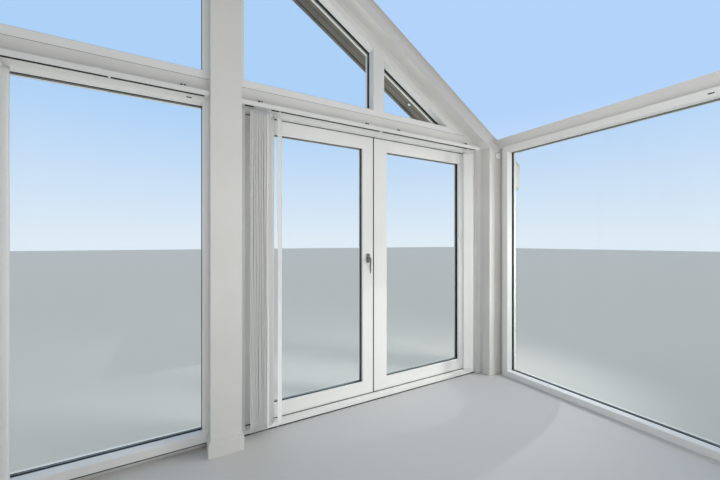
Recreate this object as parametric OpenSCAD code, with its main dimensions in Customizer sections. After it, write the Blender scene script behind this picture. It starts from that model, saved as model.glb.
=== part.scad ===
// Glazed gable corner of a beach house, in millimetres.
// The row frame: X runs along the gable wall with 0 on the ridge's centre line, Y points out of the
// house with 0 on the room face of the door frame, and Z is up from the finished floor.
// The gable stands along X, and one bay of the side wall runs back from its right end, along -Y.

/* [Gable wall] */
// Distance from the ridge's centre line to the outer face of a corner post
gable_half_w = 2540; // [2500:5:2600]
// Width of a corner post along the gable
corner_post_w = 342; // [330:2:354]
// Height of the tops of the door frame and the lower windows
frame_top_z = 2098; // [2080:2:2110]
// Height of the transom boards between the lower and upper lights
transom_h = 92; // [80:2:104]
// Pitch of the roof in degrees
roof_pitch = 31; // [30.5:0.1:31.5]
// Distance from a corner post's inner face to the toe of the rafter's underside
rafter_toe = 23; // [5:1:40]

/* [Ridge post] */
// Width of the boxed part that stands in the room
post_box_w = 170; // [150:2:190]
// How far the boxed part stands in front of the window frames
post_box_d = 103; // [100:1:140]
// Width of the core that the frames close against
post_core_w = 134; // [120:2:140]
// Thickness of the outside cover boards
cover_t = 20; // [15:1:25]
// Height of the skirting round the post
skirting_h = 95; // [70:1:120]
// Thickness of the skirting
skirting_t = 12; // [9:1:18]

/* [Fixed windows] */
// Width of a fixed frame's members
frame_w = 50; // [44:1:60]
// Depth of a fixed frame from its room face to its outer face
frame_d = 120; // [112:1:130]
// Depth of the reveal from the room face to the glass
reveal_d = 67; // [50:1:72]
// Thickness of the sealed glazing units
glass_t = 28; // [22:1:32]
// How far the glass enters its frame on each side
glass_lap = 14; // [10:1:18]
// Room between the edge of the glass and the bottom of its groove
edge_play = 4; // [2:1:6]
// Width of the mitre lines and of the play at each face of the glass
seat_gap = 0.3; // [0.2:0.1:0.4]
// Size of the small bevel on the inner room edge of every frame
edge_bevel = 4; // [2:1:6]
// Distance from the centre line to the joint between two neighbouring frames
light_joint_x = 1118; // [1000:2:1200]
// Height of the plinth under the lower windows
plinth_h = 40; // [20:1:60]
// How far the plinth stands back from the window frames
plinth_setback = 35; // [5:1:45]

/* [Terrace doors] */
// How far the door frame's room face lies behind the window frames' room face
door_setback = 27; // [20:1:40]
// Full width of the door frame's jambs
jamb_w = 61; // [52:1:70]
// Height of the door frame's head
head_h = 43; // [36:1:50]
// Depth of the stop that the leaves close against
stop_d = 50; // [40:1:60]
// Thickness of the leaves
leaf_t = 58; // [54:1:66]
// How far a leaf overlaps its stop
leaf_lap = 12; // [8:1:16]
// Clearance between a leaf and the frame
leaf_play = 5; // [5:0.5:8]
// Gap between the two leaves
leaf_gap = 10; // [9:0.5:14]
// Width of the leaves' stiles
stile_w = 96; // [85:1:110]
// Width of the right leaf's stile where the leaves meet
meeting_stile_w = 124; // [112:1:140]
// Height of the leaves' rails
rail_h = 112; // [95:1:130]
// Depth from the room face of a leaf to its glass
leaf_reveal_d = 18; // [12:1:22]
// Height of the threshold
threshold_h = 35; // [30:1:45]
// How far the threshold's outer lip stands out past the frame
threshold_out = 35; // [10:1:60]

/* [Door furniture] */
// Radius of the hinge knuckles
knuckle_r = 7; // [6:0.5:9]
// Radius of the hinge pins
pin_r = 3.5; // [3:0.25:4]
// Running clearance on the radius of a pin or spindle
run_gap = 0.05; // [0.03:0.01:0.08]
// Length of each half of a hinge
knuckle_l = 45; // [35:1:60]
// Height of the handle's spindle above the floor
handle_z = 1100; // [1000:5:1150]
// Distance from the spindle to the rounded end of the lever
lever_l = 120; // [100:1:140]
// Width of the lever
lever_w = 21; // [16:1:26]
// How far the lever stands off the leaf
lever_off = 38; // [32:1:44]
// Radius of the lever's neck
neck_r = 8; // [6:0.5:9]

/* [Roof edge] */
// Vertical depth of the rafters above the ceiling line
roof_depth = 158; // [138:5:198]
// Height of the ceiling line above the rafters' underside
ceiling_rise = 128; // [110:2:140]
// Height of the boxed casing's underside above the rafters' underside
box_rise = 42; // [25:1:60]
// Overhang of the verge past the rafters
verge_out = 214; // [150:2:300]
// Overhang of the eaves past the corner posts
eaves_out = 300; // [200:5:400]
// Thickness of the barge boards
barge_t = 22; // [18:1:28]
// Thickness of the soffit boards
soffit_t = 18; // [15:1:24]
// Thickness of the roof boards
deck_t = 22; // [18:1:28]
// Height of the soffit's underside above the rafters' underside
soffit_rise = 65; // [40:1:80]
// How far the barge board hangs below the soffit
barge_drop = 15; // [5:1:30]

/* [Side wall] */
// Thickness of the side wall from its frame's room face to its outer face
side_wall_t = 160; // [154:2:170]
// Length of the side window along the wall
side_window_l = 2150; // [1600:10:2400]
// Distance from the gable frames' room face to the side window
corner_leg = 145; // [130:1:180]
// Width of the post at the far end of the side wall
end_post_w = 140; // [120:2:180]
// Width of the casing in the corner of the room
casing_w = 125; // [110:1:130]
// Depth of the shadow groove beside the casing
groove_d = 35; // [20:1:40]

/* [Blinds] */
// Depth of the head rails
blind_rail_d = 40; // [36:1:44]
// Height of the head rails
blind_rail_h = 26; // [22:1:36]
// Wall of the head rails
blind_rail_wall = 2; // [1.5:0.1:2.5]
// Width of the slot that the hangers pass
blind_slot = 10; // [8:0.5:12]
// Distance from the transom's face to the back of the head rails
bracket_reach = 25; // [22:1:30]
// Width of the vanes
vane_w = 89; // [80:1:92]
// Thickness of the vanes
vane_t = 1.5; // [1:0.1:2]
// Height of the vanes' lower ends above the floor
vane_foot_z = 60; // [30:1:80]
// Turn of the gathered vanes from the wall's direction in degrees
vane_turn = 48; // [44:1:56]
// Distance between gathered vanes
vane_pitch = 11; // [10.5:0.1:12]
// Number of gathered vanes in each stack
vane_count = 11; // [6:1:11]

/* [Hidden] */
$fn = 48;

white = "#eceae6";
frame_white = "#f3f3f1";
brown = "#4a3a30";
roof_grey = "#3c3d40";
glass_blue = [0.72, 0.85, 0.93, 0.45];
metal = "#b9bab8";
vane_white = "#dfdfdd";

over = 1;
slope = tan(roof_pitch);
frame_face_y = -door_setback;
frame_back_y = frame_face_y + frame_d;
wall_back_y = frame_back_y + cover_t;
box_face_y = frame_face_y - post_box_d;
core_x = post_core_w / 2;
post_x = gable_half_w - corner_post_w;
side_face_x = gable_half_w - side_wall_t;
transom_top_z = frame_top_z + transom_h;
seat_x = post_x - rafter_toe;
rafter_line_z = frame_top_z + seat_x * slope;

under_line_z = rafter_line_z - seat_gap;
ceiling_line = rafter_line_z + ceiling_rise;
deck_line = ceiling_line + roof_depth;
box_line = rafter_line_z + box_rise;
soffit_line = rafter_line_z + soffit_rise;
barge_line = soffit_line - barge_drop;
vertical_of = 1 / cos(roof_pitch);
eaves_x = gable_half_w + eaves_out;
barge_y = wall_back_y + verge_out;

door_x0 = core_x;
door_x1 = post_x;
door_mid_x = (door_x0 + door_x1) / 2;
meeting_x = door_mid_x - (meeting_stile_w - stile_w) / 2;
rebate = leaf_lap + leaf_play;
leaf_y = stop_d + leaf_play;
leaf_back_y = leaf_y + leaf_t;
jamb_lip = 2;
door_back_y = leaf_back_y + jamb_lip;
stop_x0 = door_x0 + jamb_w;
stop_x1 = door_x1 - jamb_w;
stop_top_z = frame_top_z - head_h;
leaf_x0 = stop_x0 - leaf_lap;
leaf_x1 = stop_x1 + leaf_lap;
leaf_z0 = threshold_h - leaf_lap;
leaf_z1 = stop_top_z + leaf_lap;
sill_z = leaf_z0 - leaf_play;

hinge_off = 4;
hinge_y = leaf_back_y + knuckle_r + hinge_off;
hinge_inset = 2.5;
hinge_plate_t = 3;
hinge_plate_w = 34;
hinge_from_foot = 200;
hinge_from_top = 250;
hinge_heights = [leaf_z0 + hinge_from_foot, (leaf_z0 + leaf_z1) / 2, leaf_z1 - hinge_from_top];

handle_x = meeting_x - leaf_gap / 2 - stile_w / 2;
rose_w = 30;
rose_h = 74;
rose_t = 10;
lever_t = 11;

rail_back_y = frame_face_y - bracket_reach;
rail_mid_y = rail_back_y - blind_rail_d / 2;
// Undersides of the head rails over the doors and over the windows
door_rail_z = frame_top_z - 34;
window_rail_z = door_rail_z + 6;
hanger_drop = 7;
rail_end_gap = 3;
rail_end_inset = 97;
rail_end_x = side_face_x - casing_w - rail_end_inset;
near_stack_inset = 56;
far_stack_inset = 35;
door_stack_inset = 85;
near_stack_x = light_joint_x - near_stack_inset;
far_stack_x = rail_end_x - far_stack_inset;
door_stack_x = post_box_w / 2 + door_stack_inset;
lone_vane_gap = 49;
lone_vane_turn = vane_turn + 2;
lone_vane_x = door_stack_x + (vane_count - 1) * vane_pitch + lone_vane_gap;
end_vane_turn = -26;
end_vane_inset = 117;
// Places of the brackets as parts of a rail's length
door_brackets = [0.062, 0.445, 0.587, 0.95];
window_brackets = [0.09, 0.5, 0.872];

// Height of a line that falls from the ridge at the roof's pitch
function line_z(ridge_z, x) = ridge_z - abs(x) * slope;
// Inward normal of the side from a to b of an outline that runs anticlockwise
function side_normal(a, b) = [a[1] - b[1], b[0] - a[0]] / norm(b - a);
// Point where the sides round corner b, moved inward by d, meet
function inset_corner(a, b, c, d) =
    let (n = side_normal(a, b), m = side_normal(b, c),
         p = n * b + d, q = m * b + d, det = n[0] * m[1] - n[1] * m[0])
    [(p * m[1] - q * n[1]) / det, (q * n[0] - p * m[0]) / det];
// A convex outline moved inward by d, or outward where d is negative
function inset(pts, d) =
    let (n = len(pts))
    [for (i = [0 : n - 1]) inset_corner(pts[(i + n - 1) % n], pts[i], pts[(i + 1) % n], d)];
function box_outline(x0, y0, x1, y1) = [[x0, y0], [x1, y0], [x1, y1], [x0, y1]];
function mirrored(pts) = [for (i = [len(pts) - 1 : -1 : 0]) [-pts[i][0], pts[i][1]]];

near_outline = box_outline(-light_joint_x, plinth_h, -core_x, frame_top_z);
far_outline = box_outline(-post_x, plinth_h, -light_joint_x, frame_top_z);
trapezoid_outline = [
    [core_x, transom_top_z], [light_joint_x, transom_top_z],
    [light_joint_x, line_z(under_line_z, light_joint_x)], [core_x, line_z(under_line_z, core_x)]
];
triangle_x = light_joint_x + seat_gap;
triangle_outline = [
    [triangle_x, transom_top_z], [(under_line_z - transom_top_z) / slope, transom_top_z],
    [triangle_x, line_z(under_line_z, triangle_x)]
];
side_window_y = frame_face_y - corner_leg;
side_end_y = side_window_y - side_window_l;
side_outline = box_outline(side_end_y, 0, side_window_y, frame_top_z);
left_leaf_outline = box_outline(leaf_x0, leaf_z0, meeting_x - leaf_gap / 2, leaf_z1);
right_leaf_outline = box_outline(meeting_x + leaf_gap / 2, leaf_z0, leaf_x1, leaf_z1);
// Inner edge of a leaf whose left stile has the width w
function leaf_inner(o, w) =
    box_outline(o[0][0] + w, o[0][1] + rail_h, o[2][0] - stile_w, o[2][1] - rail_h);
left_leaf_inner = leaf_inner(left_leaf_outline, stile_w);
right_leaf_inner = leaf_inner(right_leaf_outline, meeting_stile_w);

// Stands a plan drawn in X and Z upright, with its thickness from y0 to y1
module upright(y0, y1) {
    translate([0, y1, 0]) rotate([90, 0, 0]) linear_extrude(y1 - y0) children();
}
// Sets a solid with its depth along Z onto the gable, depth outward from face_y
module on_gable(face_y) {
    translate([0, face_y, 0]) mirror([0, 1, 0]) rotate([90, 0, 0]) children();
}
// Sets a solid with its depth along Z onto the side wall, depth outward from face_x
module on_side(face_x) {
    translate([face_x, 0, 0]) rotate([90, 0, 90]) children();
}
module block(x0, x1, y0, y1, z0, z1) {
    translate([x0, y0, z0]) cube([x1 - x0, y1 - y0, z1 - z0]);
}

// Section of a frame member: inner edge at 0, outer edge at -w, room face at 0 and the glass groove
function member_section(w, depth, glass_z) =
    let (groove = -glass_lap - edge_play, near = glass_z - seat_gap, far = glass_z + glass_t + seat_gap)
    [[-w, 0], [-edge_bevel, 0], [0, edge_bevel], [0, near], [groove, near], [groove, far],
     [0, far], [0, depth], [-w, depth]];
function unit(v) = v / norm(v);
// Half a mitre gap square to the mitre line m, on the side that the direction along points to
function mitre_shift(m, along) =
    let (n = [-m[1], m[0]]) (n * along > 0 ? n : -n) * seat_gap / 2;
// Plan that cuts a member at its two mitres, each from an outer corner o to an inner corner k
function mitre_outline(o0, k0, o1, k1) =
    let (m0 = unit(o0 - k0), m1 = unit(o1 - k1), along = unit(k1 - k0),
         s0 = mitre_shift(m0, along), s1 = mitre_shift(m1, -along))
    [k0 - over * m0 + s0, o0 + over * m0 + s0, o1 + over * m1 + s1, k1 - over * m1 + s1];

// One member: its section drawn out along the inner edge and cut to both mitres
module frame_member(o0, k0, o1, k1, depth, glass_z) {
    run = k1 - k0;
    along = unit(run);
    w = abs(along[0] * (o0 - k0)[1] - along[1] * (o0 - k0)[0]);
    reach = max(norm(o0 - k0), norm(o1 - k1)) + over;
    intersection() {
        translate([k0[0], k0[1], 0]) rotate([0, 0, atan2(run[1], run[0])])
            translate([-reach, 0, 0]) rotate([90, 0, 90])
            linear_extrude(norm(run) + 2 * reach) polygon(member_section(w, depth, glass_z));
        translate([0, 0, -over]) linear_extrude(depth + 2 * over)
            polygon(mitre_outline(o0, k0, o1, k1));
    }
}
// A frame of mitred members round a pane, drawn from its outer and inner outlines
module mitred_frame(outer, inner, depth, glass_z) {
    n = len(outer);
    for (i = [0 : n - 1])
        frame_member(outer[i], inner[i], outer[(i + 1) % n], inner[(i + 1) % n], depth, glass_z);
}
module fixed_frame(outline) {
    mitred_frame(outline, inset(outline, frame_w), frame_d, reveal_d);
}
module pane(inner, glass_z) {
    translate([0, 0, glass_z]) linear_extrude(glass_t) polygon(inset(inner, -glass_lap));
}
module fixed_pane(outline) {
    pane(inset(outline, frame_w), reveal_d);
}

// A post's elevation with a top that follows the two slopes under the ridge
module ridge_outline(half_w, ridge_z) {
    polygon([
        [-half_w, 0], [half_w, 0], [half_w, line_z(ridge_z, half_w)],
        [0, ridge_z], [-half_w, line_z(ridge_z, half_w)]
    ]);
}
module ridge_post() {
    color(white) union() {
        upright(box_face_y, frame_face_y) ridge_outline(post_box_w / 2, box_line - seat_gap);
        upright(frame_face_y - over, wall_back_y) ridge_outline(core_x, under_line_z);
    }
}
module skirting_course(thick, z0, z1) {
    difference() {
        block(-post_box_w / 2 - thick, post_box_w / 2 + thick, box_face_y - thick, frame_face_y, z0, z1);
        block(-post_box_w / 2, post_box_w / 2, box_face_y, frame_face_y + over, z0 - over, z1 + over);
    }
}
module post_skirting() {
    cap_h = 17;
    bead_h = 10;
    step = skirting_t / 3;
    color(white) union() {
        skirting_course(skirting_t, 0, skirting_h - cap_h);
        skirting_course(skirting_t - step, 0, skirting_h - bead_h);
        skirting_course(skirting_t - 2 * step, 0, skirting_h);
    }
}

// A gable corner: the post in the wall and the casing that stands in the room
module casing_and_post() {
    casing_x0 = side_face_x - casing_w;
    union() {
        block(post_x, gable_half_w, frame_face_y, wall_back_y, 0, frame_top_z);
        upright(box_face_y, frame_face_y) polygon([
            [casing_x0, 0], [side_face_x, 0],
            [side_face_x, line_z(ceiling_line, side_face_x)], [casing_x0, line_z(ceiling_line, casing_x0)]
        ]);
    }
}
module corner_post() {
    color(white) union() {
        casing_and_post();
        block(side_face_x - over, gable_half_w, box_face_y, frame_face_y + over, 0, frame_top_z);
        block(side_face_x + groove_d, gable_half_w, side_window_y, frame_face_y, 0, frame_top_z);
    }
}
module end_post() {
    color(white) mirror([1, 0, 0]) union() {
        casing_and_post();
        block(side_face_x - over, gable_half_w, box_face_y, frame_face_y + over, 0, frame_top_z);
    }
}
module gable_plinth() {
    color(white) block(-post_x, -core_x, frame_face_y + plinth_setback, frame_back_y, 0, plinth_h);
}

// Transom board, cut at its outer end along the rafter's underside
module transom() {
    color(white) upright(frame_face_y, frame_back_y) intersection() {
        polygon(box_outline(core_x, frame_top_z, post_x, transom_top_z));
        polygon([
            [0, 0], [under_line_z / slope, 0], [0, under_line_z]
        ]);
    }
}
module transom_right() { transom(); }
module transom_left() { mirror([1, 0, 0]) transom(); }

module near_window_frame() {
    color(frame_white) on_gable(frame_face_y) fixed_frame(near_outline);
}
module far_window_frame() {
    color(frame_white) on_gable(frame_face_y) fixed_frame(far_outline);
}
module lower_window_glass() {
    color(glass_blue) on_gable(frame_face_y) {
        fixed_pane(near_outline);
        fixed_pane(far_outline);
    }
}
module upper_frames_right() {
    color(frame_white) on_gable(frame_face_y) {
        fixed_frame(trapezoid_outline);
        fixed_frame(triangle_outline);
    }
}
module upper_frames_left() {
    color(frame_white) on_gable(frame_face_y) {
        fixed_frame(mirrored(trapezoid_outline));
        fixed_frame(mirrored(triangle_outline));
    }
}
module upper_window_glass() {
    color(glass_blue) on_gable(frame_face_y) for (side = [0, 1]) mirror([side, 0, 0]) {
        fixed_pane(trapezoid_outline);
        fixed_pane(triangle_outline);
    }
}

// Jamb with the stop on the room side and the rebate for the leaf on the outer side
module jamb() {
    color(frame_white) union() {
        block(door_x0, stop_x0, 0, stop_d, 0, frame_top_z);
        block(door_x0, stop_x0 - rebate, 0, door_back_y, 0, frame_top_z);
    }
}
module door_jamb_left() { jamb(); }
module door_jamb_right() { translate([2 * door_mid_x, 0, 0]) mirror([1, 0, 0]) jamb(); }
module door_head() {
    color(frame_white) union() {
        block(stop_x0, stop_x1, 0, stop_d, stop_top_z, frame_top_z);
        block(stop_x0 - rebate, stop_x1 + rebate, stop_d, door_back_y, stop_top_z + rebate, frame_top_z);
    }
}
module door_threshold() {
    color(frame_white) union() {
        block(stop_x0, stop_x1, 0, stop_d, 0, threshold_h);
        block(stop_x0 - rebate, stop_x1 + rebate, stop_d, door_back_y, 0, sill_z);
        block(stop_x0, stop_x1, door_back_y - over, door_back_y + threshold_out, 0, sill_z);
    }
}

module leaf_frame(outer, inner) {
    on_gable(leaf_y) mitred_frame(outer, inner, leaf_t, leaf_reveal_d);
}
module door_leaf_left() { color(frame_white) leaf_frame(left_leaf_outline, left_leaf_inner); }
module door_leaf_right() { color(frame_white) leaf_frame(right_leaf_outline, right_leaf_inner); }
module door_glass_left() { color(glass_blue) on_gable(leaf_y) pane(left_leaf_inner, leaf_reveal_d); }
module door_glass_right() { color(glass_blue) on_gable(leaf_y) pane(right_leaf_inner, leaf_reveal_d); }

// Half of each hinge that is screwed to the jamb: plate, lower knuckle and pin
module hinge_pins() {
    hinge_x = leaf_x0 - hinge_inset;
    jamb_edge_x = stop_x0 - rebate;
    color(metal) for (z = hinge_heights) translate([0, 0, z]) union() {
        block(jamb_edge_x - hinge_plate_w, jamb_edge_x, door_back_y, door_back_y + hinge_plate_t,
            0, knuckle_l);
        block(jamb_edge_x - hinge_plate_t * 2, jamb_edge_x, door_back_y, hinge_y, 0, knuckle_l);
        translate([hinge_x, hinge_y, 0]) {
            cylinder(r = knuckle_r, h = knuckle_l);
            cylinder(r = pin_r, h = 2 * knuckle_l - 4);
        }
    }
}
// Half of each hinge that is screwed to the leaf: plate and bored upper knuckle
module hinge_plates() {
    hinge_x = leaf_x0 - hinge_inset;
    color(metal) for (z = hinge_heights) translate([0, 0, z + knuckle_l + seat_gap]) difference() {
        union() {
            block(leaf_x0, leaf_x0 + hinge_plate_w, leaf_back_y, leaf_back_y + hinge_plate_t, 0, knuckle_l);
            block(leaf_x0, leaf_x0 + hinge_plate_t * 2, leaf_back_y, hinge_y, 0, knuckle_l);
            translate([hinge_x, hinge_y, 0]) cylinder(r = knuckle_r, h = knuckle_l);
        }
        translate([hinge_x, hinge_y, -over]) cylinder(r = pin_r + run_gap, h = knuckle_l - 2);
    }
}
module on_right_leaf() { translate([2 * door_mid_x, 0, 0]) mirror([1, 0, 0]) children(); }
module hinge_pins_left() { hinge_pins(); }
module hinge_pins_right() { on_right_leaf() hinge_pins(); }
module hinge_plates_left() { hinge_plates(); }
module hinge_plates_right() { on_right_leaf() hinge_plates(); }

// Outline with round ends, from one centre at height z0 to another at height z1
module stadium(w, z0, z1) {
    translate([-w / 2, z0]) square([w, z1 - z0]);
    translate([0, z0]) circle(d = w);
    translate([0, z1]) circle(d = w);
}
module handle_rose() {
    spread = (rose_h - rose_w) / 2;
    color(metal) difference() {
        translate([handle_x, 0, handle_z])
            upright(leaf_y - rose_t, leaf_y) stadium(rose_w, -spread, spread);
        translate([handle_x, leaf_y - rose_t - over, handle_z])
            rotate([-90, 0, 0]) cylinder(r = neck_r + run_gap, h = rose_t - 2 + over);
    }
}
module door_lever() {
    neck_y0 = leaf_y - lever_off;
    color(metal) translate([handle_x, 0, handle_z]) union() {
        translate([0, neck_y0, 0])
            rotate([-90, 0, 0]) cylinder(r = neck_r, h = lever_off - 2 - seat_gap);
        upright(neck_y0 - lever_t, neck_y0 + over) stadium(lever_w, -lever_l + lever_w / 2, 0);
    }
}

module side_window_frame() {
    color(frame_white) on_side(side_face_x) fixed_frame(side_outline);
}
module side_window_glass() {
    color(glass_blue) on_side(side_face_x) fixed_pane(side_outline);
}
module side_beam() {
    color(white)
        block(side_face_x + cover_t, gable_half_w, side_end_y - end_post_w, frame_face_y,
            frame_top_z, transom_top_z);
}
module side_end_post() {
    color(white)
        block(side_face_x, gable_half_w, side_end_y - end_post_w, side_end_y, 0, frame_top_z);
}

// A band along the right slope between two lines, from x0 to x1
module slope_band(low, high, x0, x1) {
    polygon([
        [x0, line_z(low, x0)], [x1, line_z(low, x1)], [x1, line_z(high, x1)], [x0, line_z(high, x0)]
    ]);
}
// Rafter with its seat on the corner post, its tail past the eaves and its casing in the room
module rafter() {
    casing_x0 = side_face_x - casing_w;
    color(white) union() {
        upright(frame_face_y, wall_back_y) polygon([
            [0, rafter_line_z], [seat_x, frame_top_z], [gable_half_w, frame_top_z],
            [gable_half_w, line_z(soffit_line, gable_half_w)], [eaves_x, line_z(soffit_line, eaves_x)],
            [eaves_x, line_z(deck_line, eaves_x)], [0, deck_line]
        ]);
        upright(box_face_y, frame_face_y) slope_band(box_line, ceiling_line, 0, casing_x0);
    }
}
module rafter_right() { rafter(); }
module rafter_left() { mirror([1, 0, 0]) rafter(); }

// Short bearers that carry the soffit, barge board and roof boards out from the rafters
module verge_ladders() {
    bearer_w = 45;
    run = eaves_x - bearer_w;
    steps = 5;
    bearer_foot = soffit_line + soffit_t * vertical_of + seat_gap;
    color("#b99a6b") for (side = [0, 1]) mirror([side, 0, 0]) for (i = [0 : steps]) {
        x0 = i == 0 ? bearer_w / 4 : run * i / steps;
        upright(wall_back_y, barge_y) slope_band(bearer_foot, deck_line, x0, x0 + bearer_w);
    }
}
module soffit() {
    color(brown) upright(wall_back_y, barge_y)
        slope_band(soffit_line, soffit_line + soffit_t * vertical_of, 0, eaves_x);
}
module soffit_right() { soffit(); }
module soffit_left() { mirror([1, 0, 0]) soffit(); }
module barge_board() {
    color(brown) upright(barge_y, barge_y + barge_t) slope_band(barge_line, deck_line, 0, eaves_x);
}
module barge_board_right() { barge_board(); }
module barge_board_left() { mirror([1, 0, 0]) barge_board(); }
module roof_boards() {
    boards_line = deck_line + seat_gap;
    color(roof_grey) upright(frame_face_y, barge_y + barge_t)
        slope_band(boards_line, boards_line + deck_t * vertical_of, 0, eaves_x);
}
module roof_boards_right() { roof_boards(); }
module roof_boards_left() { mirror([1, 0, 0]) roof_boards(); }

// Open track that the vanes run in, with the brackets that hold it to the transom
module blind_rail(x0, x1, z0, brackets) {
    bracket_w = 20;
    bracket_t = 3;
    bracket_h = 34;
    wall = blind_rail_wall;
    z1 = z0 + blind_rail_h;
    union() {
        difference() {
            block(x0, x1, rail_back_y - blind_rail_d, rail_back_y, z0, z1);
            block(x0 - over, x1 + over, rail_back_y - blind_rail_d + wall, rail_back_y - wall,
                z0 + wall, z1 - wall);
            block(x0 - over, x1 + over, rail_mid_y - blind_slot / 2, rail_mid_y + blind_slot / 2,
                z0 - over, z0 + wall + over);
        }
        for (part = brackets) {
            x = x0 + part * (x1 - x0);
            block(x - bracket_w / 2, x + bracket_w / 2, rail_back_y - blind_rail_d, frame_face_y,
                z1, z1 + bracket_t);
            block(x - bracket_w / 2, x + bracket_w / 2, frame_face_y - bracket_t, frame_face_y,
                z1, z1 + bracket_h);
        }
    }
}
module blind_rails() {
    rail_start = post_box_w / 2 + rail_end_gap;
    color(vane_white) {
        blind_rail(rail_start, rail_end_x, door_rail_z, door_brackets);
        blind_rail(-light_joint_x + rail_end_gap, -rail_start, window_rail_z, window_brackets);
        blind_rail(-rail_end_x, -light_joint_x - rail_end_gap, window_rail_z, window_brackets);
    }
}
// One vane with its hanger and the carrier that rides on the lips of the track
module vane(x, turn, rail_z) {
    carrier_l = 9;
    carrier_w = blind_slot + 18;
    carrier_h = 8;
    hanger_w = 5;
    hanger_lap = 12;
    vane_top_z = rail_z - hanger_drop;
    lip_z = rail_z + blind_rail_wall + seat_gap;
    translate([x, rail_mid_y, 0]) union() {
        rotate([0, 0, turn])
            block(-vane_w / 2, vane_w / 2, -vane_t / 2, vane_t / 2, vane_foot_z, vane_top_z);
        block(-hanger_w / 2, hanger_w / 2, -hanger_w / 2, hanger_w / 2,
            vane_top_z - hanger_lap, lip_z + over);
        block(-carrier_l / 2, carrier_l / 2, -carrier_w / 2, carrier_w / 2, lip_z, lip_z + carrier_h);
    }
}
module vane_stack(x0, rail_z) {
    for (i = [0 : vane_count - 1]) vane(x0 + i * vane_pitch, vane_turn, rail_z);
}
module door_vanes() {
    color(vane_white) {
        vane_stack(door_stack_x, door_rail_z);
        vane(lone_vane_x, lone_vane_turn, door_rail_z);
        vane(rail_end_x - end_vane_inset, end_vane_turn, door_rail_z);
    }
}
module window_vanes() {
    color(vane_white) {
        vane_stack(-near_stack_x, window_rail_z);
        vane_stack(-far_stack_x, window_rail_z);
    }
}

ridge_post();
post_skirting();
corner_post();
end_post();
gable_plinth();
transom_left();
transom_right();
near_window_frame();
far_window_frame();
lower_window_glass();
upper_frames_left();
upper_frames_right();
upper_window_glass();
door_jamb_left();
door_jamb_right();
door_head();
door_threshold();
door_leaf_left();
door_leaf_right();
door_glass_left();
door_glass_right();
hinge_pins_left();
hinge_pins_right();
hinge_plates_left();
hinge_plates_right();
handle_rose();
door_lever();
side_window_frame();
side_window_glass();
side_beam();
side_end_post();
rafter_left();
rafter_right();
verge_ladders();
soffit_left();
soffit_right();
barge_board_left();
barge_board_right();
roof_boards_left();
roof_boards_right();
blind_rails();
door_vanes();
window_vanes();
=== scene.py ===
# %% [markdown]
# # A glazed gable corner, dressed
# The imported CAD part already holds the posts, frames, leaves, rafters and verge of this corner of
# a house. This lesson adds what a plain solid can't show: sealed units with two panes, rubber
# seals, blind vanes of woven cloth, a cranked lever, and a finish for every surface, all in metres
# and in the CAD part's own frame.

import math

import bmesh
import bpy
import numpy as np
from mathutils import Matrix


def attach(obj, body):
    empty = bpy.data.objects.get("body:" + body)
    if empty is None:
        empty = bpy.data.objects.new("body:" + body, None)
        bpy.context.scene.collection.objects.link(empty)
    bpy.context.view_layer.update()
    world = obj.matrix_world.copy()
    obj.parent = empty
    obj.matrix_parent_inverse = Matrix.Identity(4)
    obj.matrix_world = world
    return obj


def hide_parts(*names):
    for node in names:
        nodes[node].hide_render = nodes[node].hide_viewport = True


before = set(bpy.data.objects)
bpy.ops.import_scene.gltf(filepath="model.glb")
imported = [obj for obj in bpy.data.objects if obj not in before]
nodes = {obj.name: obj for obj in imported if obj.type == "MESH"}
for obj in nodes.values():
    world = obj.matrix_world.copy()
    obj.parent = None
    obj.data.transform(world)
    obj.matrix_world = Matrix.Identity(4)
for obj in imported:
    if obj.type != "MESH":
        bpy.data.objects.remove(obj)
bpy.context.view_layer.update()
MM = 0.001

# %% [markdown]
# The camera stands at the photo's own viewpoint: 2.2 m in front of the doors, 1.23 m up, level,
# and turned about 30 degrees to the right. A wide lens takes in both walls, and a very small shift
# sets the horizon.

# %% Camera
CAMERA_AT = (-0.2845, -2.189, 1.226)
CAMERA_YAW = math.radians(29.7)
LENS_MM, SENSOR_MM, SHIFT_UP, NEAREST = 16.65, 36, 0.0028, 0.05

camera = bpy.data.objects.new("camera", bpy.data.cameras.new("camera"))
bpy.context.scene.collection.objects.link(camera)
camera.location = CAMERA_AT
camera.rotation_euler = (math.radians(90), 0, -CAMERA_YAW)
camera.data.lens, camera.data.sensor_width = LENS_MM, SENSOR_MM
camera.data.shift_y = SHIFT_UP
camera.data.clip_start = NEAREST
bpy.context.scene.camera = camera
print("camera at", CAMERA_AT, "with a lens of", LENS_MM, "mm")

# %% [markdown]
# The sizes repeat the part's own source. Outlines are lists of corners that run anticlockwise: (X,
# Z) on the gable and (Y, Z) on the side wall. The roof has one slope, so a sloped edge is given by
# its height over the centre line, and one function lets it down.

# %% Sizes shared with the CAD part
CORE_X, POST_X = 0.067, 2.198
FRAME_TOP, TRANSOM_TOP, PLINTH = 2.098, 2.190, 0.040
SLOPE = math.tan(math.radians(31))
RAFTER_LINE = FRAME_TOP + (POST_X - 0.023) * SLOPE
UNDER_LINE = RAFTER_LINE - 0.0003
TOE_X = (UNDER_LINE - TRANSOM_TOP) / SLOPE
FACE_Y, FRAME_DEPTH, FRAME_W = -0.027, 0.120, 0.050
REVEAL, UNIT_T, LAP = 0.067, 0.028, 0.014
JOINT_X, TRIANGLE_X = 1.118, 1.1183
SIDE_FACE_X, SIDE_Y0, SIDE_Y1 = 2.380, -2.322, -0.172
LEAF_Y, LEAF_REVEAL = 0.055, 0.018
STILE_W, MEETING_W, RAIL_H = 0.096, 0.124, 0.112
LEAF_Z0, LEAF_Z1 = 0.023, 2.067
LEAF_X0, LEAF_X1, MEETING_X, LEAF_GAP = 0.116, 2.149, 1.1185, 0.010


def line_z(height, x):
    """Height at x of a line that falls from height at the centre line with the roof's slope."""
    return height - abs(x) * SLOPE


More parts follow.
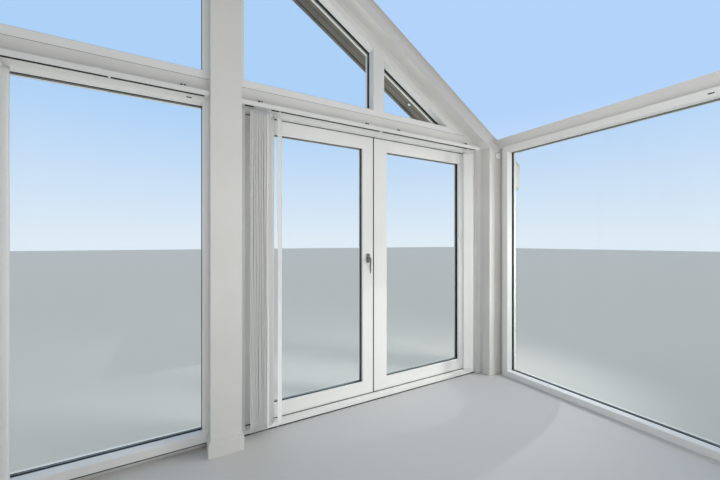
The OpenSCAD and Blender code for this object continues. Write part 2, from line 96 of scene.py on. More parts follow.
def rectangle(a0, b0, a1, b1):
    """Corners of a rectangle, anticlockwise from the lower left."""
    return np.array([(a0, b0), (a1, b0), (a1, b1), (a0, b1)])


def mirrored(outline):
    """The outline on the other side of the centre line, still anticlockwise."""
    return outline[::-1] * (-1, 1)


near_light = rectangle(-JOINT_X, PLINTH, -CORE_X, FRAME_TOP)
far_light = rectangle(-POST_X, PLINTH, -JOINT_X, FRAME_TOP)
side_light = rectangle(SIDE_Y0, 0, SIDE_Y1, FRAME_TOP)
trapezoid_light = np.array(
    [
        (CORE_X, TRANSOM_TOP),
        (JOINT_X, TRANSOM_TOP),
        (JOINT_X, line_z(UNDER_LINE, JOINT_X)),
        (CORE_X, line_z(UNDER_LINE, CORE_X)),
    ]
)
triangle_light = np.array(
    [(TRIANGLE_X, TRANSOM_TOP), (TOE_X, TRANSOM_TOP), (TRIANGLE_X, line_z(UNDER_LINE, TRIANGLE_X))]
)
left_leaf = rectangle(LEAF_X0, LEAF_Z0, MEETING_X - LEAF_GAP / 2, LEAF_Z1)
right_leaf = rectangle(MEETING_X + LEAF_GAP / 2, LEAF_Z0, LEAF_X1, LEAF_Z1)
print("the sloped lights end", round(TOE_X, 3), "m from the centre line")

# %% [markdown]
# A seal or spacer is one section that runs round an outline. A curve with a bevel profile could
# make it, but would thin out at the triangle's sharp corners. Here each corner has a mitre vector,
# and a point of the section at inset u lies u times that vector from the corner.

# %% Sections carried round an outline


def mitres(outline):
    """Mitre vector of each corner: the sum of its two inward normals over one plus their dot
    product."""
    side = np.roll(outline, -1, axis=0) - outline
    normal = np.stack([-side[:, 1], side[:, 0]], axis=1)
    normal /= np.linalg.norm(normal, axis=1, keepdims=True)
    before = np.roll(normal, 1, axis=0)
    return (normal + before) / (1 + (normal * before).sum(1, keepdims=True))


def inset(outline, distance):
    """Every corner moved along its mitre, so that each side moves inward by distance."""
    return outline + distance * mitres(outline)


def on_gable(points, face_y=FACE_Y):
    """(a, b, depth) on the gable becomes (X = a, Y = face + depth, Z = b)."""
    return np.stack([points[..., 0], face_y + points[..., 2], points[..., 1]], axis=-1)


def on_side(points):
    """(a, b, depth) on the side wall becomes (X = face + depth, Y = a, Z = b)."""
    return np.stack([SIDE_FACE_X + points[..., 2], points[..., 0], points[..., 1]], axis=-1)


def on_leaf(points):
    """(a, b, depth) measured from the room face of the closed leaves."""
    return on_gable(points, LEAF_Y)


def from_row(points):
    """(a, b, depth) with the depth measured as Y itself."""
    return on_gable(points, 0.0)


def grid_faces(rows, cols, wrap_rows=False, wrap_cols=False):
    """Quads of a grid: each joins a vertex to its neighbours in the next row and column."""
    r = np.arange(rows if wrap_rows else rows - 1)[:, None]
    c = np.arange(cols if wrap_cols else cols - 1)[None, :]
    r1, c1 = (r + 1) % rows, (c + 1) % cols
    quads = [r * cols + c, r * cols + c1, r1 * cols + c1, r1 * cols + c]
    quads = [np.broadcast_to(q, (r.size, c.size)) for q in quads]
    return np.stack(quads, -1).reshape(-1, 4).tolist()


def run_round(outline, section, place):
    """A closed (inset, depth) section carried round the outline, as (vertices, faces)."""
    section = np.asarray(section, float)
    flat = outline[:, None, :] + section[None, :, :1] * mitres(outline)[:, None, :]
    depth = np.broadcast_to(section[None, :, 1:], flat.shape[:2] + (1,))
    points = place(np.concatenate([flat, depth], axis=-1))
    faces = grid_faces(len(outline), len(section), wrap_rows=True, wrap_cols=True)
    return points.reshape(-1, 3), faces


def plate(outline, depth0, depth1, arris, place):
    """A flat plate with bevelled edges: four insets of the outline between two cap faces."""
    section = [(arris, depth0), (0, depth0 + arris), (0, depth1 - arris), (arris, depth1)]
    section = np.array(section)
    flat = outline[None, :, :] + section[:, None, :1] * mitres(outline)[None, :, :]
    depth = np.broadcast_to(section[:, None, 1:], flat.shape[:2] + (1,))
    points = place(np.concatenate([flat, depth], axis=-1)).reshape(-1, 3)
    n = len(outline)
    faces = grid_faces(4, n, wrap_cols=True)
    return points, faces + [range(n), range(3 * n, 4 * n)]


print("mitre vectors of the near window:", mitres(near_light).round(3).tolist())

# %% [markdown]
# Every new piece is one mesh object at the origin, so that a pattern on object coordinates stays
# where it is. Its parts are closed shells in one list of vertices, and the normals are made to
# point outwards once the whole mesh is there.

# %% From arrays to an object


def joined(parts):
    """Several (vertices, faces) shells as one, each shell's face numbers moved past the last."""
    points, faces, start = [], [], 0
    for p, f in parts:
        points.append(np.asarray(p, float).reshape(-1, 3))
        faces += [tuple(i + start for i in face) for face in f]
        start += len(points[-1])
    return np.concatenate(points), faces


def piece(name, parts, material, body, smooth=False, closed=True):
    """A mesh object made from shells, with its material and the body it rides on."""
    points, faces = joined(parts)
    mesh = bpy.data.meshes.new(name)
    mesh.from_pydata(points.tolist(), [], faces)
    if closed:
        work = bmesh.new()
        work.from_mesh(mesh)
        bmesh.ops.recalc_face_normals(work, faces=work.faces)
        work.to_mesh(mesh)
        work.free()
    if smooth:
        mesh.polygons.foreach_set("use_smooth", np.ones(len(mesh.polygons), bool))
    mesh.materials.append(material)
    made = bpy.data.objects.new(name, mesh)
    bpy.context.scene.collection.objects.link(made)
    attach(made, body)
    print("piece", name, "with", len(faces), "faces, on", body)
    return made


# %% [markdown]
# Colours are the hex values of a colour picker, and one function turns them into the linear values
# that a shader computes with. Another adds any node with its settings and links. Each finish makes
# its patterns first and ends with its shader, which takes them all.

# %% Colours and nodes


def linear(hex_code):
    """sRGB hex to linear: c / 12.92 below 0.04045, else ((c + 0.055) / 1.055) to the power 2.4."""
    srgb = np.array([int(hex_code[i : i + 2], 16) for i in (1, 3, 5)]) / 255
    value = np.where(srgb < 0.04045, srgb / 12.92, ((srgb + 0.055) / 1.055) ** 2.4)
    return (*(float(v) for v in value), 1.0)


def add_node(tree, kind, inputs=(), **settings):
    """Adds one node: settings are its properties, inputs its sockets, by value or other socket."""
    node = tree.nodes.new(kind)
    for name, value in settings.items():
        setattr(node, name, value)
    for name, value in dict(inputs).items():
        if isinstance(value, bpy.types.NodeSocket):
            tree.links.new(value, node.inputs[name])
        else:
            node.inputs[name].default_value = value
    return node


def new_finish(name):
    """A material with its name, and the empty tree that its nodes go into."""
    material = bpy.data.materials.new(name)
    material.use_nodes = True
    material.node_tree.nodes.clear()
    print("finish", name)
    return material, material.node_tree


def coat(tree, inputs, relief=None):
    """Ends a finish: its relief, and the Principled shader with its inputs, on the output."""
    if relief:
        inputs = {**inputs, "Normal": add_node(tree, "ShaderNodeBump", relief).outputs[0]}
    surface = add_node(tree, "ShaderNodeBsdfPrincipled", inputs).outputs[0]
    add_node(tree, "ShaderNodeOutputMaterial", {"Surface": surface})


def pattern(tree, kind, sizes_mm, inputs=()):
    """A texture on object coordinates divided by its real size along each axis, in millimetres."""
    place = add_node(tree, "ShaderNodeTexCoord").outputs["Object"]
    scale = tuple(1 / (s * MM) for s in sizes_mm)
    place = add_node(tree, "ShaderNodeMapping", {"Vector": place, "Scale": scale}).outputs[0]
    return add_node(tree, kind, {"Vector": place, "Scale": 1.0, **dict(inputs)}).outputs


def noise(tree, sizes_mm, detail, **inputs):
    """Noise of that size, with detail as its number of finer layers."""
    return pattern(tree, "ShaderNodeTexNoise", sizes_mm, {"Detail": detail, **inputs})["Fac"]


def combined(tree, operation, first, second):
    """Two values combined by a math node."""
    both = {0: first, 1: second}
    return add_node(tree, "ShaderNodeMath", both, operation=operation).outputs[0]


def number_between(tree, factor, low, high, start=0.3, end=0.7, **settings):
    """A number that goes from low to high while factor goes from start to end."""
    span = {"Value": factor, "From Min": start, "From Max": end, "To Min": low, "To Max": high}
    return add_node(tree, "ShaderNodeMapRange", span, **settings).outputs[0]


def ramp_between(tree, factor, low, high, start=0.3, end=0.7):
    """The same for a colour."""
    node = add_node(tree, "ShaderNodeValToRGB", {"Fac": factor})
    for stop, position, hex_code in zip(node.color_ramp.elements, (start, end), (low, high)):
        stop.position, stop.color = position, linear(hex_code)
    return node.outputs["Color"]


print("the picker's #808080 is", round(linear("#808080")[0], 3), "in linear light")

# %% [markdown]
# ## Painted softwood
# The posts, boards and rafters are planed softwood under white satin paint. One even white would
# look like plastic, so brush marks run along each board, 3 mm across and 250 mm along, and the
# paint is a little duller in places. The shader's bevel rounds each arris, which is sharp in the
# CAD solid.

# %% Painted softwood


def satin_paint(name, grain_mm, arris_mm=1.5):
    """White satin paint on a board; grain_mm is the length of a brush mark along X, Y and Z."""
    material, tree = new_finish(name)
    strokes = noise(tree, grain_mm, 3.0, Roughness=0.6)
    clouds = noise(tree, (420, 420, 420), 4.0)
    rough = number_between(tree, strokes, 0.34, 0.46)
    edge = add_node(tree, "ShaderNodeBevel", {"Radius": arris_mm * MM}, samples=4).outputs[0]
    relief = {"Height": strokes, "Normal": edge, "Strength": 0.25, "Distance": 0.2 * MM}
    colour = ramp_between(tree, clouds, "#dfdeda", "#e6e5e2")
    coat(tree, {"Base Color": colour, "Roughness": rough, "IOR": 1.47}, relief)
    return material


paint_upright = satin_paint("satin_paint_upright", (3, 3, 250))
paint_level = satin_paint("satin_paint_level", (250, 3, 3))
paint_side = satin_paint("satin_paint_side", (3, 250, 3))
paint_casing = satin_paint("satin_paint_casing", (250, 3, 3), 4.0)

# %% [markdown]
# ## White window plastic
# The frames and leaves are extruded uPVC: smooth, glossier than paint, with an index of refraction
# of about 1.54 and the faint waviness, about 40 mm long, that the extruder leaves. Without it the
# highlights would look too clean. The blinds' parts and the coated trim are made the same way.

# %% White uPVC


def window_plastic(name, hex_low, hex_high):
    """Extruded white uPVC with a faint waviness and finely worn gloss."""
    material, tree = new_finish(name)
    clouds = noise(tree, (600, 600, 600), 3.0)
    wave = noise(tree, (40, 40, 40), 2.0)
    rough = number_between(tree, wave, 0.30, 0.34)
    edge = add_node(tree, "ShaderNodeBevel", {"Radius": 0.8 * MM}, samples=4).outputs[0]
    relief = {"Height": wave, "Normal": edge, "Strength": 0.05, "Distance": 0.3 * MM}
    colour = ramp_between(tree, clouds, hex_low, hex_high)
    coat(tree, {"Base Color": colour, "Roughness": rough, "IOR": 1.54}, relief)
    return material


white_upvc = window_plastic("white_upvc", "#eeeeec", "#f3f3f1")
rail_plastic = window_plastic("blind_plastic", "#e6e6e4", "#ebebe9")
lens_plastic = window_plastic("opal_acrylic", "#f4f1e6", "#faf7ec")
powder_coat = window_plastic("powder_coat", "#e2e2df", "#e8e8e6")
dark_trim = window_plastic("dark_coated_trim", "#2d2e30", "#36373a")

# %% [markdown]
# ## Glass, seals and spacers
# Float glass has an index of 1.52 and a slight green tint. The photo's panes hardly mirror
# anything, so the index is lowered to 1.15 to match them. Lamps can't find their way through a
# refracting pane, so shadow rays meet a nearly clear filter instead. Seals are extruded rubber,
# dark and dull, mottled by the bloom of age.

# %% Glass and rubber


def float_glass():
    """Clear float glass that lets the lamps' light through, with its reflections kept faint."""
    material, tree = new_finish("float_glass")
    pane = {"Base Color": linear("#fbfefd"), "Roughness": 0.0, "IOR": 1.15}
    pane["Transmission Weight"] = 1.0
    seen = add_node(tree, "ShaderNodeBsdfPrincipled", pane).outputs[0]
    clear = add_node(tree, "ShaderNodeBsdfTransparent", {"Color": linear("#fcfdfd")}).outputs[0]
    shadow = add_node(tree, "ShaderNodeLightPath").outputs["Is Shadow Ray"]
    mix = add_node(tree, "ShaderNodeMixShader", {0: shadow, 1: seen, 2: clear}).outputs[0]
    add_node(tree, "ShaderNodeOutputMaterial", {"Surface": mix})
    return material


def rubber(name, hex_low, hex_high, roughness, bloom_mm):
    """Extruded rubber or a dull polymer: dark, matt, with a fine mottled bloom."""
    material, tree = new_finish(name)
    bloom = noise(tree, (bloom_mm, bloom_mm, bloom_mm), 3.0)
    relief = {"Height": bloom, "Strength": 0.2, "Distance": 0.1 * MM}
    dull = {"Roughness": roughness, "IOR": 1.5, "Specular IOR Level": 0.3}
    coat(tree, {"Base Color": ramp_between(tree, bloom, hex_low, hex_high), **dull}, relief)
    return material


glass = float_glass()
seal_rubber = rubber("black_epdm", "#101112", "#1b1c1e", 0.55, 12)
spacer_polymer = rubber("warm_edge_polymer", "#181b1e", "#22262a", 0.45, 25)
grey_sealant = rubber("grey_sealant", "#55585a", "#686b6d", 0.6, 15)

# %% [markdown]
# ## Brushed steel
# The lever, its rose and the lock plate are stainless steel, brushed along their length. The
# grooves are drawn 0.6 mm wide, coarser than real ones, because finer ones would not show.

# %% Brushed steel


def brushed_steel():
    """Satin stainless steel: grooves along Z vary its colour, its roughness and its relief."""
    material, tree = new_finish("satin_steel")
    grooves = noise(tree, (0.6, 0.6, 18), 2.0)
    rough = number_between(tree, grooves, 0.20, 0.30)
    relief = {"Height": grooves, "Strength": 0.15, "Distance": 0.05 * MM}
    colour = ramp_between(tree, grooves, "#918d88", "#aca8a2")
    coat(tree, {"Base Color": colour, "Roughness": rough, "Metallic": 1.0}, relief)
    return material


steel = brushed_steel()

# %% [markdown]
# ## Softwood of the verge
# The verge boards are softwood under a thin brown stain that lets the grain show, and the bearers
# behind them are bare. The rings are bands of noise, 6 mm wide and 160 mm long along the board,
# which a slower noise makes lighter and darker: cheaper than true rings, and as good on a narrow
# board.

# %% Stained and sawn softwood


def softwood(name, dark, light, grain_mm, ring_mm, roughness):
    """Softwood with growth rings as stretched bands, shifted a little by a slow noise."""
    material, tree = new_finish(name)
    drift = noise(tree, grain_mm, 2.0, Scale=0.35)
    rings = noise(tree, ring_mm, 5.0, Roughness=0.65, Distortion=0.6)
    grain = combined(tree, "ADD", rings, drift)
    rough = number_between(tree, grain, roughness - 0.08, roughness + 0.08, 0.7, 1.3)
    relief = {"Height": grain, "Strength": 0.35, "Distance": 0.4 * MM}
    colour = ramp_between(tree, grain, dark, light, 0.75, 1.0)
    coat(tree, {"Base Color": colour, "Roughness": rough, "IOR": 1.5}, relief)
    return material


brown_stain = softwood("brown_stain", "#615a51", "#7d766b", (300, 60, 60), (160, 6, 6), 0.6)
sawn_softwood = softwood("sawn_softwood", "#a88755", "#c9a878", (60, 300, 60), (6, 160, 6), 0.7)

# %% [markdown]
# ## Roof boards under felt
# One CAD solid is both the roof's boards and the felt on them. Its mesh is left alone, so the
# shader picks the finish by the direction in which a face looks: felt with mineral grit of about
# 1.5 mm, or pale oiled timber below and towards the room.

# %% Roof boards under felt


def felted_boards():
    """Bitumen felt under grit; but pale oiled timber on the faces that look down or into the room,
    where the Z or the Y of the normal is below -0.5."""
    material, tree = new_finish("mineral_felt_on_boards")
    grit = pattern(tree, "ShaderNodeTexVoronoi", (1.5, 1.5, 1.5))
    cells = add_node(tree, "ShaderNodeRGBToBW", {"Color": grit["Color"]}).outputs[0]
    felt_colour = ramp_between(tree, cells, "#2f3032", "#505254", 0.2, 0.9)
    rings = noise(tree, (6, 160, 6), 5.0)
    timber_colour = ramp_between(tree, rings, "#d3ccbd", "#e0dacd")
    normal = add_node(tree, "ShaderNodeTexCoord").outputs["Normal"]
    axes = add_node(tree, "ShaderNodeSeparateXYZ", {"Vector": normal}).outputs
    lower = combined(tree, "MINIMUM", axes["Z"], axes["Y"])
    felted = combined(tree, "GREATER_THAN", lower, -0.5)
    either = {0: felted, 6: timber_colour, 7: felt_colour}
    colour = add_node(tree, "ShaderNodeMix", either, data_type="RGBA").outputs[2]
    relief = {"Height": grit["Distance"], "Strength": 0.5, "Distance": 0.6 * MM}
    coat(tree, {"Base Color": colour, "Roughness": 0.85}, relief)
    return material


felt = felted_boards()

# %% [markdown]
# ## Vane cloth
# The vanes are woven polyester, stiffened with resin, and pass some light on, which a translucent
# shader does. Two sets of threads cross on the cloth's own UV map, which is in metres. A wave
# texture draws 3.18 bands to the metre at a scale of 1, so 0.314 over the pitch gives each thread
# one band.

# %% Vane cloth
THREAD = 0.9 * MM


def vane_cloth():
    """Stiffened polyester: warp times weft as relief, and slubs 1.1 mm x 33 mm as colour."""
    material, tree = new_finish("stiffened_polyester")
    place = add_node(tree, "ShaderNodeUVMap", uv_map="cloth").outputs[0]
    threads = {"Vector": place, "Scale": 0.314 / THREAD, "Distortion": 0.4}
    warp = add_node(tree, "ShaderNodeTexWave", threads, bands_direction="X").outputs["Fac"]
    weft = add_node(tree, "ShaderNodeTexWave", threads, bands_direction="Y").outputs["Fac"]
    weave = combined(tree, "MULTIPLY", warp, weft)
    per_metre = {"Vector": place, "Scale": (900, 30, 1)}
    along = add_node(tree, "ShaderNodeMapping", per_metre).outputs[0]
    uneven = {"Vector": along, "Scale": 1.0, "Detail": 3.0}
    slub = add_node(tree, "ShaderNodeTexNoise", uneven).outputs["Fac"]
    colour = ramp_between(tree, slub, "#f7f6f4", "#fcfbf9")
    relief = {"Height": weave, "Strength": 0.15, "Distance": 0.06 * MM}
    bump = add_node(tree, "ShaderNodeBump", relief).outputs[0]
    front = {"Base Color": colour, "Roughness": 0.75, "Sheen Weight": 0.15, "Normal": bump}
    lit = add_node(tree, "ShaderNodeBsdfPrincipled", front).outputs[0]
    through = {"Color": linear("#fcfbf8"), "Normal": bump}
    glow = add_node(tree, "ShaderNodeBsdfTranslucent", through).outputs[0]
    mix = add_node(tree, "ShaderNodeMixShader", {0: 0.50, 1: lit, 2: glow}).outputs[0]
    add_node(tree, "ShaderNodeOutputMaterial", {"Surface": mix})
    return material


cloth = vane_cloth()

# %% [markdown]
# ## Finishes for the CAD nodes
# Each node keeps its own shape and gets a finish whose grain runs along the board that it is.
# Glass and hinges are found by their names. The frames, jambs and leaves are what is left, all of
# them white uPVC.

# %% Dress the CAD nodes
finishes = {
    paint_upright: ["ridge_post", "corner_post", "end_post", "side_end_post"],
    paint_level: ["post_skirting", "gable_plinth", "transom_left", "transom_right"],
    paint_casing: ["rafter_left", "rafter_right"],
    paint_side: ["side_beam"],
    glass: [name for name in nodes if "glass" in name],
    powder_coat: [name for name in nodes if "hinge" in name],
    rail_plastic: ["blind_rails"],
    steel: ["handle_rose", "door_lever"],
    sawn_softwood: ["verge_ladders"],
    brown_stain: ["soffit_left", "soffit_right", "barge_board_left", "barge_board_right"],
    felt: ["roof_boards_left", "roof_boards_right"],
    cloth: ["door_vanes", "window_vanes"],
}
finish_of = {name: finish for finish, names in finishes.items() for name in names}
for name, node in nodes.items():
    node.data.materials.clear()
    node.data.materials.append(finish_of.get(name, white_upvc))
print("dressed", len(nodes), "nodes,", len(nodes) - len(finish_of), "of them in uPVC")

# %% [markdown]
# ## Sealed units
# A sealed unit is two 4 mm panes with a 20 mm gap, held apart by a black spacer. The CAD pane is
# one thick solid, which would bend the view like a block of ice, so two thin panes replace it. The
# spacer between them ends 10 mm in from the glass edge, where its dark face shows to someone who
# looks along the glass. A rubber lip closes each side of the groove.

# %% Sealed glazing units
PANE_T, PANE_ARRIS, PANE_PLAY = 0.004, 0.0005, 0.0002
SPACER_OUT, SPACER_IN = 0.003, 0.0098
ROOM_LIP, OUTER_LIP, LIP_BACK, LIP_TAPER = 0.0022, 0.0015, -0.001, 0.0008
LIP_TIP_T, LIP_ROOT_T = 0.0025, 0.0030
upper_lights = [trapezoid_light, triangle_light]
upper_lights += [mirrored(light) for light in upper_lights]
units = {
    "lower_window_glass": ("gable", on_gable, FRAME_W, REVEAL, [near_light, far_light]),
    "upper_window_glass": ("gable", on_gable, FRAME_W, REVEAL, upper_lights),
    "side_window_glass": ("gable", on_side, FRAME_W, REVEAL, [side_light]),
    "door_glass_left": ("left_leaf", on_leaf, (STILE_W, STILE_W), LEAF_REVEAL, [left_leaf]),
    "door_glass_right": ("right_leaf", on_leaf, (MEETING_W, STILE_W), LEAF_REVEAL, [right_leaf]),
}


def opening(outline, width):
    """The inner edge of a frame, or of a leaf with the widths of its left and right stiles."""
    if isinstance(width, tuple):
        (a0, b0), (a1, b1) = outline[0], outline[2]
        return rectangle(a0 + width[0], b0 + RAIL_H, a1 - width[1], b1 - RAIL_H)
    return inset(outline, width)


def glazing_lip(depth, outward, reach):
    """(inset, depth) section of a lip that stands on the pane and tapers away from it."""
    tip, root = depth + outward * LIP_TIP_T, depth + outward * LIP_ROOT_T
    return [(LIP_BACK, depth), (reach, depth), (reach - LIP_TAPER, tip), (LIP_BACK, root)]


for node, (body, place, width, depth, outlines) in units.items():
    edges = [inset(opening(o, width), -LAP) for o in outlines]
    far = depth + UNIT_T
    panes = [plate(e, depth, depth + PANE_T, PANE_ARRIS, place) for e in edges]
    panes += [plate(e, far - PANE_T, far, PANE_ARRIS, place) for e in edges]
    panes = piece(node + "_panes", panes, glass, body)
    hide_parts(node)
    gap0, gap1 = depth + PANE_T + PANE_PLAY, far - PANE_T - PANE_PLAY
    section = rectangle(SPACER_OUT, gap0, SPACER_IN, gap1)
    spacer = [run_round(e, section, place) for e in edges]
    piece(node + "_spacers", spacer, spacer_polymer, body)
    lips = [glazing_lip(depth, -1, ROOM_LIP), glazing_lip(far, 1, OUTER_LIP)]
    seals = [run_round(inset(e, LAP), lip, place) for e in edges for lip in lips]
    piece(node + "_seals", seals, seal_rubber, body)
print("sealed units:", sum(len(u[4]) for u in units.values()))

# %% [markdown]
# ## Vertical blinds
# Each vane is an 89 mm strip of stiffened cloth, about 1.98 m long as it hangs, with a 40 mm
# pocket folded up at each end. A cloth simulation would hardly move so stiff a strip, so its shape
# is worked out: it bows a millimetre or two across, and drifts from side to side and in its turn.

# %% Vane cloth as sheets
VANE_W, VANE_FOOT, HANGER_DROP, RAIL_MID_Y = 0.089, 0.060, 0.028, -0.072
CLOTH_T, HEM = 0.0006, 0.040
TURN_DRIFT, SIDE_DRIFT, SLOW_WAVE, QUICK_WAVE = 0.02, 0.0012, 4.2, 9
BOW_RANGE, PHASE_RANGE, ACROSS_N, ALONG_N = (0.0012, 0.0022), (0, 6.3), 9, 60
RAIL_END_X, DOOR_RAIL_Z, WINDOW_RAIL_Z = 2.158, 2.064, 2.070
random = np.random.default_rng(7)


def vane_grid(x, turn, top, bow, phase):
    """Points of one vane: across runs along the turned width, bow is a parabola across it that
    fades towards the stiff ends, and the turn and the place drift as sines of the height."""
    u, v = np.linspace(-1, 1, ACROSS_N)[:, None], np.linspace(0, 1, ALONG_N)[None, :]
    fade = np.sin(math.pi * v) ** 0.5
    angle = math.radians(turn) + TURN_DRIFT * fade * np.sin(SLOW_WAVE * v + phase)
    out = bow * (1 - u**2) * fade + SIDE_DRIFT * fade * np.sin(QUICK_WAVE * v + 2 * phase)
    across = u * VANE_W / 2
    px = x + across * np.cos(angle) - out * np.sin(angle)
    py = RAIL_MID_Y + across * np.sin(angle) + out * np.cos(angle)
    pz = VANE_FOOT + (top - VANE_FOOT) * v + 0 * u
    cloth_uv = np.stack([across + 0 * v, pz], axis=-1)
    return np.stack([px, py, pz], axis=-1), cloth_uv


def vane_sheet(name, node, x, turn, top):
    """One vane as a sheet with its own UV map in metres, and its thickness."""
    bow, phase = random.uniform(*BOW_RANGE), random.uniform(*PHASE_RANGE)
    points, cloth_uv = vane_grid(x, turn, top, bow, phase)
    sheet = [(points.reshape(-1, 3), grid_faces(*points.shape[:2]))]
    made = piece(name, sheet, cloth, "gable", smooth=True, closed=False)
    uv = made.data.uv_layers.new(name="cloth")
    corner = np.zeros(len(made.data.loops), int)
    made.data.loops.foreach_get("vertex_index", corner)
    uv.data.foreach_set("uv", cloth_uv.reshape(-1, 2)[corner].ravel())
    thick = made.modifiers.new("cloth", "SOLIDIFY")
    thick.thickness, thick.offset = CLOTH_T, 0
    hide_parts(node)


STACK_PITCH, STACK_TURN, STACK_COUNT = 0.010, 46, 11
DOOR_STACK_X, NEAR_STACK_X, FAR_STACK_X = 0.170, 0.056 - JOINT_X, 0.035 - RAIL_END_X
LONE_VANE, CORNER_VANE = (0.329, 56), (RAIL_END_X - 0.117, -26)


def stack(start):
    """Places (x, turn) of gathered vanes, from the one at start."""
    return [(start + i * STACK_PITCH, STACK_TURN) for i in range(STACK_COUNT)]


blinds = {
    "door_vanes": (DOOR_RAIL_Z, stack(DOOR_STACK_X) + [LONE_VANE, CORNER_VANE]),
    "window_vanes": (WINDOW_RAIL_Z, stack(NEAR_STACK_X) + stack(FAR_STACK_X)),
}
for node, (rail_z, places) in blinds.items():
    for i, (x, turn) in enumerate(places):
        vane_sheet(f"{node[:-1]}_{i + 1:02d}", node, x, turn, rail_z - HANGER_DROP)
print("vanes:", sum(len(places) for _, places in blinds.values()))

# %% [markdown]
# Each vane hangs on a moulded holder: a plate in its top pocket, a hook above the cloth, a collar
# under the rail, a thin stem through its slot and a carrier on the slot's lips. At its foot a
# weight stiffens the lower pocket. They show as a row of fine ticks, so plain bevelled blocks are
# enough.

# %% Holders, carriers and weights
PLATE, HOOK, COLLAR = (0.030, 0.0030), (0.0065, 0.0026), (0.0070, 0.0200)
STEM, CARRIER, WEIGHT = (0.0040, 0.0040), (0.009, 0.028), (0.083, 0.0022)
SLOT_LIP, FINE_ARRIS = 0.0023, 0.0004


def turned_block(x, turn, size, z0, z1, arris=0.0006):
    """A bevelled block round the vane's hanging line, turned with the vane."""
    half = np.array(size) / 2
    angle = math.radians(turn)

    def place(p):
        px = x + p[..., 0] * math.cos(angle) - p[..., 1] * math.sin(angle)
        py = RAIL_MID_Y + p[..., 0] * math.sin(angle) + p[..., 1] * math.cos(angle)
        return np.stack([px, py, p[..., 2]], axis=-1)

    return plate(rectangle(-half[0], -half[1], half[0], half[1]), z0, z1, arris, place)


for node, (rail_z, places) in blinds.items():
    holders, weights = [], []
    top, lip = rail_z - HANGER_DROP, rail_z + SLOT_LIP
    for x, turn in places:
        holders += [
            turned_block(x, turn, PLATE, top - 0.014, top + 0.004),
            turned_block(x, turn, HOOK, top, rail_z - 0.004),
            turned_block(x, 0, COLLAR, rail_z - 0.0055, rail_z - 0.0015, FINE_ARRIS),
            turned_block(x, turn, STEM, rail_z - 0.002, lip + 0.001, FINE_ARRIS),
            turned_block(x, 0, CARRIER, lip, lip + 0.008),
        ]
        weights.append(turned_block(x, turn, WEIGHT, VANE_FOOT + 0.002, VANE_FOOT + 0.036))
    piece(node.replace("vanes", "vane_hangers"), holders, rail_plastic, "gable")
    piece(node.replace("vanes", "vane_weights"), weights, rail_plastic, "gable")

# %% [markdown]
# The rails are open below. A black glide lip lines both sides of the slot, with a black liner
# behind it, and makes the dark line along each rail. The liner is painted shade: it stands where
# the rail's hollow inside is in shadow. The lips are real but drawn wide, so that they paint the
# slot's shade as well. A rail has a plate and a pale plug at both ends, a pale clip that crosses
# the line near its middle, and two dark screw caps at a bracket, drawn large and dark so that they
# also paint the shade of the bracket's tongue.

# %% Rail shade liners, end plates, clips and caps
RAIL_FRONT, RAIL_BACK, RAIL_WALL, RAIL_GAP = -0.092, -0.052, 0.0025, 0.003
LINER_T, LINER_STEP, LINER_TOP = 0.002, 0.0115, 0.0235
LIP_HALF, STEM_HALF, CROSS_HALF, PLUG_L = 0.009, 0.0024, 0.011, 0.024
END_PROUD, END_OUT, END_IN, END_TOP = 0.0008, 0.0018, 0.0002, 0.0268
SCREW_R, SCREW_APART, SCREW_UP, SCREW_FRONT = 0.0065, 0.0080, 0.0565, -0.0328
POST_CLEAR, NEAR_END, FAR_END = 0.088, RAIL_GAP - JOINT_X, -RAIL_GAP - JOINT_X
# A rail is its ends and height, its caps' and its clip's places as parts of it, and half the clip.
door_rail = (POST_CLEAR, RAIL_END_X, DOOR_RAIL_Z, (0.062, 0.445, 0.587, 0.95), 0.491, 0.009)
near_rail = (NEAR_END, -POST_CLEAR, WINDOW_RAIL_Z, (0.09, 0.872), 0.546, 0.0045)
far_rail = (-RAIL_END_X, FAR_END, WINDOW_RAIL_Z, (0.09, 0.872), 0.546, 0.0045)


def along_x(x0, x1, section):
    """A closed (Y, Z) section drawn from x0 to x1, with flat ends."""
    section = np.asarray(section, float)
    n = len(section)
    ends = [np.concatenate([np.full((n, 1), x), section], axis=1) for x in (x0, x1)]
    sides = grid_faces(2, n, wrap_cols=True)
    return np.concatenate(ends), sides + [range(n), range(n, 2 * n)]


def disc(x, y0, y1, z, radius, sides=20):
    """A round plate with a bevelled rim, flat on the gable."""
    turn = np.linspace(0, 2 * math.pi, sides, endpoint=False)
    rim = np.stack([x + radius * np.cos(turn), z + radius * np.sin(turn)], axis=1)
    return plate(rim, y0, y1, min(abs(y1 - y0), radius) * 0.3, from_row)


def rail_section(half, z0, z1):
    """A (Y, Z) rectangle centred under the rail."""
    return rectangle(RAIL_MID_Y - half, z0, RAIL_MID_Y + half, z1)


